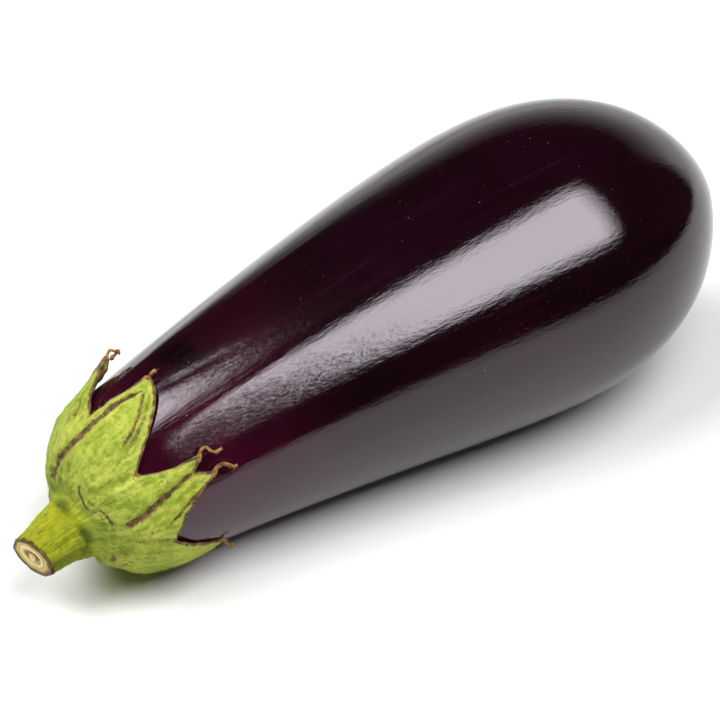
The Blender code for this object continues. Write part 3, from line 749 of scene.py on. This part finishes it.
# %% Down on the calyx
HAIR_COUNT = 10500
HAIR_PATCH = 300
HAIR_WIDTH = 0.040 * MM
HAIR_LEAN = (0.45, 0.0, 0.0)    # towards the lobes' tips
HAIR_SPREAD = 0.45
HAIR_LENGTHS = (0.45, 0.55)     # least, and how much more at most, in millimetres
BARE_END = 7.5 * MM             # no hairs this near the middle of the cut
hair_random = random.Random(7)
faces = [face for face in calyx_mesh.polygons if face.material_index == 0]
areas = np.cumsum([face.area for face in faces])
hair_mesh = bpy.data.meshes.new("calyx_down")
bm_all = bmesh.new()
stem_end = laid_down(stem_ring(STEM_LENGTH, np.zeros(1), np.zeros(1))[0])[0]
made = 0
for patch in range(HAIR_COUNT // HAIR_PATCH):
    bm = bmesh.new()
    for _ in range(HAIR_PATCH):
        face = faces[min(int(np.searchsorted(areas, hair_random.random() * areas[-1])), len(faces) - 1)]
        normal = face.normal
        lean = Vector([hair_random.gauss(mean, HAIR_SPREAD) for mean in HAIR_LEAN])
        direction = (normal + lean * 0.8).normalized()
        if direction.dot(normal) < 0.15:
            continue
        length = (HAIR_LENGTHS[0] + HAIR_LENGTHS[1] * hair_random.random()) * MM
        root = face.center
        if (root - Vector(stem_end)).length < BARE_END or (root + direction * length).z < FLOOR_GAP:
            continue
        middle = root + direction * (0.5 * length - 0.05 * MM)
        place = direction.to_track_quat("Z", "Y").to_matrix().to_4x4()
        place.translation = middle
        bmesh.ops.create_cone(bm, cap_ends=False, segments=3, radius1=0.5 * HAIR_WIDTH,
                              radius2=0.08 * HAIR_WIDTH, depth=length, matrix=place)
        made += 1
    patch_mesh = bpy.data.meshes.new("patch")
    bm.to_mesh(patch_mesh)
    bm.free()
    bm_all.from_mesh(patch_mesh)
    bpy.data.meshes.remove(patch_mesh)
bm_all.to_mesh(hair_mesh)
bm_all.free()
down = new_piece("calyx_down", hair_mesh, None)
print("hairs:", made)

# %% [markdown]
# ## Materials
#
# Every finish is worked out from places on the piece, never from a picture. A small helper adds a node,
# sets its values and links its inputs, so that each material below reads as a short list of layers.


# %% A helper for node materials
class Finish:
    """A node material that is put together a layer at a time."""

    def __init__(self, name):
        self.material = bpy.data.materials.new(name)
        self.material.use_nodes = True
        self.tree = self.material.node_tree
        self.shader = self.tree.nodes["Principled BSDF"]

    def node(self, kind, settings=None, **inputs):
        """Add a node, set its own settings, and give its inputs values or links."""
        made = self.tree.nodes.new(kind)
        for key, value in (settings or {}).items():
            setattr(made, key, value)
        for key, value in inputs.items():
            socket = made.inputs[int(key[1:])] if key[1:].isdigit() else made.inputs[key.replace("_", " ")]
            self.give(socket, value)
        return made

    def give(self, socket, value):
        """Link a socket to another, or set its value."""
        if isinstance(value, bpy.types.NodeSocket):
            self.tree.links.new(value, socket)
        else:
            socket.default_value = value

    def surface(self, **values):
        """Set or link the shader's own sockets."""
        for key, value in values.items():
            self.give(self.shader.inputs[key.replace("_", " ")], value)

    def places(self):
        """The piece's own coordinates, in metres."""
        return self.node("ShaderNodeTexCoord").outputs["Object"]

    def attribute(self, name, output="Fac"):
        """A value or vector that the mesh keeps at each vertex."""
        return self.node("ShaderNodeAttribute", {"attribute_name": name}).outputs[output]

    def noise(self, vector, scale, detail=3.0, roughness=0.5):
        """Noise from 0 to 1."""
        made = self.node("ShaderNodeTexNoise", Vector=vector, Scale=scale, Detail=detail, Roughness=roughness)
        return made.outputs["Fac"]

    def stretched(self, vector, scale):
        """Coordinates scaled apart along three axes."""
        return self.node("ShaderNodeMapping", Vector=vector, Scale=scale).outputs["Vector"]

    def ramp(self, value, low, high, start=0.0, end=1.0):
        """A value carried from one range to another and held at its ends."""
        made = self.node("ShaderNodeMapRange", {"clamp": True}, Value=value)
        for key, number in (("From Min", low), ("From Max", high), ("To Min", start), ("To Max", end)):
            made.inputs[key].default_value = number
        return made.outputs["Result"]

    def math(self, operation, first, second):
        """Two values joined by an operation."""
        return self.node("ShaderNodeMath", {"operation": operation}, _0=first, _1=second).outputs["Value"]

    def mix(self, share, first, second, blend="MIX"):
        """Two colours mixed by a share."""
        made = self.node("ShaderNodeMix", {"data_type": "RGBA", "blend_type": blend})
        self.give(made.inputs[0], share)
        self.give(made.inputs[6], first)
        self.give(made.inputs[7], second)
        return made.outputs[2]

    def bump(self, height, distance, strength=1.0, normal=None):
        """Normals tilted by a height, given in metres by its distance."""
        made = self.node("ShaderNodeBump", Height=height, Distance=distance, Strength=strength)
        if normal is not None:
            self.give(made.inputs["Normal"], normal)
        return made.outputs["Normal"]


print("a finish can hold:", [name for name in vars(Finish) if not name.startswith("_")])

# %% [markdown]
# The skin is a nearly black purple under a clear wax, redder towards the stem where it is thinnest. Light
# breaks up on it because the wax lies over cells and tiny wrinkles: a fine noise bump does that, stretched
# along the fruit. Pale specks and short scratches are scattered by thresholds on noise.

# %% Aubergine skin
NIGHT, PLUM = (0.0038, 0.0005, 0.0018, 1.0), (0.0085, 0.0009, 0.0036, 1.0)
RUBY, STREAK = (0.064, 0.0027, 0.0172, 1.0), (0.030, 0.003, 0.011, 1.0)
SPECK = (0.20, 0.12, 0.070, 1.0)
CELL_DEPTH, PEEL_DEPTH = 0.000032, 0.000046     # depths of the two reliefs, in metres
skin = Finish("aubergine_skin")
places = skin.places()
skin_place = skin.attribute("place", "Vector")
arc_value = skin.node("ShaderNodeSeparateXYZ", Vector=skin_place).outputs["Z"]
toward_stem = skin.ramp(arc_value, 95.0, 25.0)
cloudy = skin.noise(places, 28.0, 3.0)
redder = skin.math("MULTIPLY", toward_stem, skin.ramp(cloudy, 0.35, 0.7))
colour = skin.mix(skin.ramp(cloudy, 0.3, 0.7), NIGHT, PLUM)
colour = skin.mix(redder, colour, RUBY)
streaks = skin.noise(skin.stretched(skin_place, (1.0, 1.0, 0.04)), 0.5, 4.0)
colour = skin.mix(skin.ramp(streaks, 0.55, 0.75, 0.0, 0.35), colour, STREAK)
speckle_field = skin.noise(places, 1100.0, 1.0)
speckle_patches = skin.noise(places, 40.0, 1.0)
speckles = skin.math("MULTIPLY", skin.ramp(speckle_field, 0.77, 0.82), skin.ramp(speckle_patches, 0.38, 0.55))
colour = skin.mix(speckles, colour, SPECK)
fine_cells = skin.noise(skin.stretched(skin_place, (1.0, 1.0, 0.32)), 1.5, 3.0, 0.55)
orange_peel = skin.noise(skin.stretched(skin_place, (1.0, 1.0, 0.22)), 0.55, 2.0, 0.5)
fine_cells = skin.math("MULTIPLY", fine_cells, skin.ramp(arc_value, 45.0, 125.0, 0.45, 1.0))
normal = skin.bump(fine_cells, CELL_DEPTH)
normal = skin.bump(orange_peel, PEEL_DEPTH, normal=normal)
skin.surface(Base_Color=colour, Roughness=0.075, Normal=normal, IOR=1.5, Specular_IOR_Level=0.55,
             Specular_Tint=(1.0, 0.92, 1.0, 1.0))
fruit.data.materials.append(skin.material)
print("nodes in the skin's finish:", len(skin.tree.nodes))

# %% [markdown]
# The calyx is matt and downy. Its green goes from a fresh lime to a deeper green, veins streak it lengthwise,
# and its edges, creases and tips have dried to browns. Shade is painted into the green as well: darker in the
# groove round the stem, below the stem's ridge and on the side turned to the floor. The mesh keeps how near
# each place is to a crease or an edge, and noise makes those borders ragged.

# %% Calyx green: colours
LIME = ((0.225, 0.315, 0.008, 1.0), (0.43, 0.49, 0.050, 1.0))
STEM_GREEN = ((0.21, 0.285, 0.003, 1.0), (0.50, 0.51, 0.006, 1.0))
PALE = ((0.62, 0.66, 0.125, 1.0), (0.66, 0.64, 0.015, 1.0))         # on the calyx, on the stem
DEEP = ((0.125, 0.210, 0.006, 1.0), (0.100, 0.165, 0.002, 1.0))     # on the calyx, on the stem
EDGE_GREEN = ((0.36, 0.38, 0.045, 1.0), (0.60, 0.58, 0.13, 1.0))
# Painted shade: the dark green that the kept shade value mixes into the calyx and the stem.
PAINTED_SHADE_GREEN = (0.036, 0.078, 0.003, 1.0)
SCAR_BROWN = ((0.045, 0.017, 0.014, 1.0), (0.26, 0.135, 0.045, 1.0))
SPOT_BROWN = (0.09, 0.035, 0.012, 1.0)
DRY_BROWN = ((0.10, 0.045, 0.018, 1.0), (0.42, 0.22, 0.060, 1.0))
print("greens and browns:", 2 * len((LIME, STEM_GREEN, PALE, DEEP, EDGE_GREEN, SCAR_BROWN, DRY_BROWN)) + 2)

# %% [markdown]
# Each layer is a noise or a kept value that lets one tone through over the layers below it, as glazes do in
# paint. A list of them is easy to put in another order and to tune.

# %% Calyx green: layers
green = Finish("calyx_green")
places = green.places()
sheet_place = green.attribute("place", "Vector")
patches = green.noise(places, 130.0, 3.0)
mottle = green.noise(places, 520.0, 3.0, 0.6)
veins = green.noise(green.stretched(sheet_place, (1.0, 1.0, 0.16)), 0.9, 3.0, 0.55)
fuzz = green.noise(green.stretched(sheet_place, (1.0, 1.0, 0.6)), 3.6, 3.0, 0.7)
on_stem = green.attribute("stem")
fibres = green.noise(green.stretched(sheet_place, (1.0, 1.0, 0.12)), 1.6, 4.0, 0.6)
lime = green.mix(green.ramp(patches, 0.36, 0.66), *LIME)
stem_tone = green.mix(green.ramp(fibres, 0.38, 0.64), *STEM_GREEN)
pale = green.mix(on_stem, *PALE)
deep = green.mix(on_stem, *DEEP)
edge_tone = green.mix(green.ramp(fuzz, 0.4, 0.6), *EDGE_GREEN)
colour = green.mix(on_stem, lime, stem_tone)
LAYERS = (                      # what steers it, where it starts and is full, most share, tone
    (green.attribute("margin"), 3.2, 0.8, 0.55, edge_tone),
    (veins, 0.50, 0.70, 0.60, pale), (veins, 0.44, 0.28, 0.55, deep),
    (mottle, 0.50, 0.72, 0.50, pale), (mottle, 0.46, 0.30, 0.50, deep),
    (fuzz, 0.54, 0.74, 0.50, pale),
)
for steer, start, full, most, tone in LAYERS:
    colour = green.mix(green.ramp(steer, start, full, 0.0, most), colour, tone)
# Painted shade: the kept shade value, roughened by the mottle, darkens the green in the groove round the
# stem, below the stem's ridge and on the side turned to the floor.
shaded = green.math("ADD", green.attribute("shade"), green.ramp(mottle, 0.3, 0.7, -0.25, 0.25))
colour = green.mix(green.ramp(shaded, 0.25, 1.05, 0.0, 0.90), colour, PAINTED_SHADE_GREEN)
brown_near = green.attribute("brown")
ragged = green.noise(places, 300.0, 5.0, 0.75)
brownness = green.math("ADD", brown_near, green.ramp(ragged, 0.3, 0.7, -0.40, 0.40))
brown_tone = green.mix(green.ramp(green.noise(places, 480.0, 3.0), 0.42, 0.66), *SCAR_BROWN)
colour = green.mix(green.ramp(brownness, 0.34, 0.68, 0.0, 0.95), colour, brown_tone)
specks = green.math("MULTIPLY", green.ramp(green.noise(places, 1300.0, 1.0), 0.70, 0.76),
                    green.ramp(green.noise(places, 90.0, 1.0), 0.48, 0.62))
colour = green.mix(specks, colour, SPOT_BROWN)
dry_tone = green.mix(green.ramp(green.noise(places, 900.0, 3.0), 0.35, 0.65), *DRY_BROWN)
colour = green.mix(green.ramp(green.attribute("dry"), 0.25, 0.95), colour, dry_tone)
normal = green.bump(fuzz, 0.00045)
normal = green.bump(mottle, 0.00060, normal=normal)
green.surface(Base_Color=colour, Roughness=0.65, Normal=normal, Specular_IOR_Level=0.22)
calyx.data.materials.append(green.material)
print("nodes in the calyx's finish:", len(green.tree.nodes))

# %% [markdown]
# The stem was cut with a knife some days ago. The cut shows a pale ring of wood between softer yellow
# tissue, a pith in the middle that has shrunk and left a hollow beside it, and a rim dried nearly black.

# %% Cut end of the stem
cut_end = Finish("cut_end")
places = cut_end.places()
radial = cut_end.attribute("cut")
waver = cut_end.noise(places, 500.0, 3.0)
radial = cut_end.math("ADD", radial, cut_end.ramp(waver, 0.2, 0.8, -0.04, 0.04))
rings = cut_end.node("ShaderNodeValToRGB", Fac=radial)
RING_COLOURS = (                # share of the radius, colour
    (0.0, (0.96, 0.825, 0.425)), (0.14, (0.925, 0.725, 0.312)), (0.21, (0.163, 0.0875, 0.01)),
    (0.32, (0.275, 0.163, 0.0225)), (0.40, (0.75, 0.562, 0.188)), (0.58, (0.96, 0.825, 0.425)),
    (0.67, (0.45, 0.312, 0.0438)), (0.74, (0.75, 0.587, 0.175)), (0.84, (0.375, 0.25, 0.0438)),
    (0.91, (0.075, 0.0312, 0.01)))
elements = rings.color_ramp.elements
for element, (position, tone) in zip(list(elements), (RING_COLOURS[0], RING_COLOURS[-1])):
    element.position, element.color = position, (*tone, 1.0)
for position, tone in RING_COLOURS[1:-1]:
    elements.new(position).color = (*tone, 1.0)
colour = cut_end.mix(cut_end.ramp(cut_end.noise(places, 900.0), 0.4, 0.7, 0.0, 0.3), rings.outputs["Color"],
                     (0.42, 0.30, 0.12, 1.0))
cut_end.surface(Base_Color=colour, Roughness=0.7, Normal=cut_end.bump(cut_end.noise(places, 1500.0), 0.00012))
calyx.data.materials.append(cut_end.material)
print("rings on the cut:", len(RING_COLOURS))

# %% [markdown]
# The hairs are as pale as the calyx's veins. One noise varies them a little, so that they don't shine
# alike.

# %% Hairs
hair_finish = Finish("calyx_hairs")
tone = hair_finish.noise(hair_finish.places(), 300.0)
hair_colour = hair_finish.mix(tone, (0.40, 0.47, 0.03, 1.0), (0.62, 0.66, 0.16, 1.0))
hair_finish.surface(Base_Color=hair_colour, Roughness=0.7, Specular_IOR_Level=0.2)
down.data.materials.append(hair_finish.material)
print("materials:", [material.name for material in bpy.data.materials])

# %% [markdown]
# ## Studio
#
# A glossy skin is a mirror, so its highlights say where the lights stood. One soft box hangs in front and
# draws the long highlight. Another hangs on the stem's side: it lights the neck and throws the shadow
# towards the right. The white floor ends not far in front. It gets darker towards that end, so that the
# skin shows no hard line where the floor stops.

# %% Floor
FLOOR_EDGES = (-1.6, 0.50, -0.75, 1.4)      # low x, high x, low y, high y, in metres
FLOOR_FADE = (-0.72, -0.22)                 # y over which its front part comes out of the dark
FLOOR_WHITE = 0.88


def flat_sheet(name, width, height, matrix):
    """A flat rectangle with its own UV, put in place by a matrix."""
    bm = bmesh.new()
    bm.loops.layers.uv.new("UVMap")
    bmesh.ops.create_grid(bm, x_segments=1, y_segments=1, size=0.5, calc_uvs=True)
    bmesh.ops.scale(bm, vec=(width, height, 1.0), verts=bm.verts)
    bmesh.ops.transform(bm, matrix=matrix, verts=bm.verts)
    mesh = bpy.data.meshes.new(name)
    bm.to_mesh(mesh)
    bm.free()
    sheet = bpy.data.objects.new(name, mesh)
    bpy.context.scene.collection.objects.link(sheet)
    return sheet


low_x, high_x, low_y, high_y = FLOOR_EDGES
floor_middle = Matrix.Translation((0.5 * (low_x + high_x), 0.5 * (low_y + high_y), 0.0))
floor = flat_sheet("studio_floor", high_x - low_x, high_y - low_y, floor_middle)
floor_finish = Finish("floor_white")
floor_depth = floor_finish.node("ShaderNodeSeparateXYZ", Vector=floor_finish.places()).outputs["Y"]
floor_tone = floor_finish.ramp(floor_depth, *FLOOR_FADE, 0.0, FLOOR_WHITE)
floor_finish.surface(Base_Color=floor_tone, Roughness=0.9, Specular_IOR_Level=0.2)
floor.data.materials.append(floor_finish.material)
print("floor, metres:", round(high_x - low_x, 3), "by", round(high_y - low_y, 3))

# %% [markdown]
# The room is the world's background, nearly black, with a white card painted into it by direction. Nodes
# that compare the direction with a few angles draw its edges, soft ones, so that no picture of a room is
# needed.

# %% Dark room with a white card in it
ROOM_GLOW = 0.02
CARD_GLOW = 0.95
CARD_TURN = (10.0, 79.0)        # degrees round from +X
CARD_TOP = (3.0, 31.0)          # degrees above the floor at which it starts and stops fading
CARD_SOFT = (0.08, 0.06)        # softness of its two sides, in radians
CARD_FOOT = (-0.35, -0.25)      # height of the direction at which it starts from below
world = bpy.data.worlds.new("studio")
bpy.context.scene.world = world
world.use_nodes = True


class Room(Finish):
    """The world's nodes, put together with the same helper."""

    def __init__(self, tree):
        self.tree = tree


room = Room(world.node_tree)
split = room.node("ShaderNodeSeparateXYZ", Vector=room.node("ShaderNodeTexCoord").outputs["Generated"])
turn_from_x = room.math("ARCTAN2", split.outputs["Y"], split.outputs["X"])
card_low, card_high = (math.radians(angle) for angle in CARD_TURN)
card = room.math("MULTIPLY", room.ramp(turn_from_x, card_low - CARD_SOFT[0], card_low + CARD_SOFT[0]),
                 room.ramp(turn_from_x, card_high + CARD_SOFT[1], card_high - CARD_SOFT[1]))
fade_from, fade_to = (math.sin(math.radians(angle)) for angle in CARD_TOP)
card = room.math("MULTIPLY", card, room.ramp(split.outputs["Z"], fade_to, fade_from))
card = room.math("MULTIPLY", card, room.ramp(split.outputs["Z"], *CARD_FOOT))
glow = room.math("ADD", room.math("MULTIPLY", card, CARD_GLOW), ROOM_GLOW)
room.give(world.node_tree.nodes["Background"].inputs["Strength"], glow)
room.give(world.node_tree.nodes["Background"].inputs["Color"], (1.0, 1.0, 1.0, 1.0))
print("card, degrees round:", CARD_TURN, "degrees up:", CARD_TOP)

# %% [markdown]
# What shines in the gloss and what lights the matt surfaces are split. The panels are glowing sheets that
# only glossy rays see, with edges that fade, because the edges of a real box's cloth are dimmer. The washes
# are area lamps left out of the gloss. Each has its glow given, from which a lamp's power follows by its
# area.

# %% Lamps
LAMP_TARGET = Vector((0.0, 0.0, 0.05))
PANELS = (                      # soft: shares of the width and of the height that fade at either end
    dict(name="front_panel", direction=(0.235, -0.555, 0.797), sideways=(0.953, 0.285, -0.105),
         distance=1.0, width=0.79, height=0.92, glow=10.9, soft=((0.025, 0.25), (0.17, 0.22))),
    dict(name="stem_side_panel", direction=(-0.50, 0.28, 0.82), sideways=(0.0, 1.0, -0.34),
         distance=1.0, width=1.10, height=0.73, glow=11.5, soft=((0.25, 0.12), (0.04, 0.10))),
)
WASHES = (
    dict(name="front_wash", direction=(0.12, -0.42, 0.90), sideways=(1.0, 0.0, -0.13),
         distance=1.2, width=0.75, height=0.75, glow=8.2),
    dict(name="stem_side_wash", direction=(-0.42, 0.24, 0.88), sideways=(0.0, 1.0, -0.27),
         distance=1.2, width=0.85, height=0.75, glow=7.2),
)


def facing_matrix(side, up, back, place):
    """World matrix of an object whose axes point along three directions."""
    return Matrix.Translation(place) @ Matrix((side, up, back)).transposed().to_4x4()


def hung(direction, sideways, distance):
    """World matrix of a lamp that hangs in a direction from the fruit and faces it."""
    back = Vector(direction).normalized()
    side = Vector(sideways)
    side = (side - back * side.dot(back)).normalized()
    return facing_matrix(side, back.cross(side), back, LAMP_TARGET + back * distance)


def glow_panel(name, direction, sideways, distance, width, height, glow, soft):
    """A panel that faces the fruit and shows only in its gloss, with a glow that fades towards its edges."""
    panel = flat_sheet(name, width, height, hung(direction, sideways, distance))
    finish = Finish(name)
    uv = finish.node("ShaderNodeTexCoord").outputs["UV"]
    across = finish.node("ShaderNodeSeparateXYZ", Vector=uv).outputs
    fade = 1.0
    for output, edges in zip(("X", "Y"), soft):
        for low, high in ((0.0, edges[0]), (1.0, 1.0 - edges[1])):
            fade = finish.math("MULTIPLY", finish.ramp(across[output], low, high), fade)
    finish.surface(Base_Color=(0.0, 0.0, 0.0, 1.0), Roughness=1.0, Specular_IOR_Level=0.0,
                   Emission_Color=(1.0, 1.0, 1.0, 1.0), Emission_Strength=finish.math("MULTIPLY", fade, glow))
    panel.data.materials.append(finish.material)
    for ray in ("camera", "diffuse", "shadow", "transmission"):
        setattr(panel, "visible_" + ray, False)
    return panel


def soft_box(name, direction, sideways, distance, width, height, glow):
    """A rectangular lamp that faces the fruit and lights only its matt surfaces."""
    lamp_data = bpy.data.lights.new(name, "AREA")
    lamp_data.shape = "RECTANGLE"
    lamp_data.size, lamp_data.size_y = width, height
    lamp_data.energy = glow * math.pi * width * height
    lamp = bpy.data.objects.new(name, lamp_data)
    bpy.context.scene.collection.objects.link(lamp)
    lamp.matrix_world = hung(direction, sideways, distance)
    lamp.visible_glossy = False
    return lamp


for panel_values in PANELS:
    glow_panel(**panel_values)
for lamp_values in WASHES:
    lamp = soft_box(**lamp_values)
    print(lamp.name, "gives", round(lamp.data.energy, 2), "watts")

# %% [markdown]
# ## Camera
#
# The camera stands where the photographer's did: 40 degrees above the floor, on the side of the cut stem.
# Its place and its aim were found from the fruit's two ends and its outline in the square picture.

# %% Camera
CAMERA_TURN = math.radians(56.8)
CAMERA_RISE = math.radians(40.0)
CAMERA_DISTANCE = 0.8256
PICTURE = 720.0                 # width and height of the picture, in pixels
FOCAL_PIXELS = 3000.0           # focal length, in pixels of that picture
SENSOR = 36.0                   # millimetres
AIM_OFFSET = (-49.33, 19.57)    # pixels from the picture's middle to the fruit's middle, right and down
FRUIT_MIDDLE = (0.1048, 0.0, 0.0114)    # from the stem pole, in metres
look = Vector((math.cos(CAMERA_TURN) * math.cos(CAMERA_RISE), math.sin(CAMERA_TURN) * math.cos(CAMERA_RISE),
               -math.sin(CAMERA_RISE)))
right = Vector((math.sin(CAMERA_TURN), -math.cos(CAMERA_TURN), 0.0))
below = look.cross(right)
middle = Vector(laid_down(skin_point(0.0, 0.0, 0.0))) + Vector(FRUIT_MIDDLE)
aim = middle + (right * AIM_OFFSET[0] + below * AIM_OFFSET[1]) * (CAMERA_DISTANCE / FOCAL_PIXELS)
station = middle - look * CAMERA_DISTANCE
sight = (aim - station).normalized()
turn = look.rotation_difference(sight)
camera_data = bpy.data.cameras.new("camera")
camera_data.sensor_width = SENSOR
camera_data.lens = SENSOR * FOCAL_PIXELS / PICTURE
camera_data.clip_start = 0.01
camera = bpy.data.objects.new("camera", camera_data)
bpy.context.scene.collection.objects.link(camera)
camera.matrix_world = facing_matrix(turn @ right, -(turn @ below), -sight, station)
bpy.context.scene.camera = camera
bpy.context.scene.view_settings.view_transform = "Standard"
print("camera at, metres:", tuple(round(c, 4) for c in station))

# %% [markdown]

# %% [markdown]
# ## Finish
#
# The script ends by printing the names of the pieces.

# %% Finish
print("pieces:", fruit.name, calyx.name, down.name)
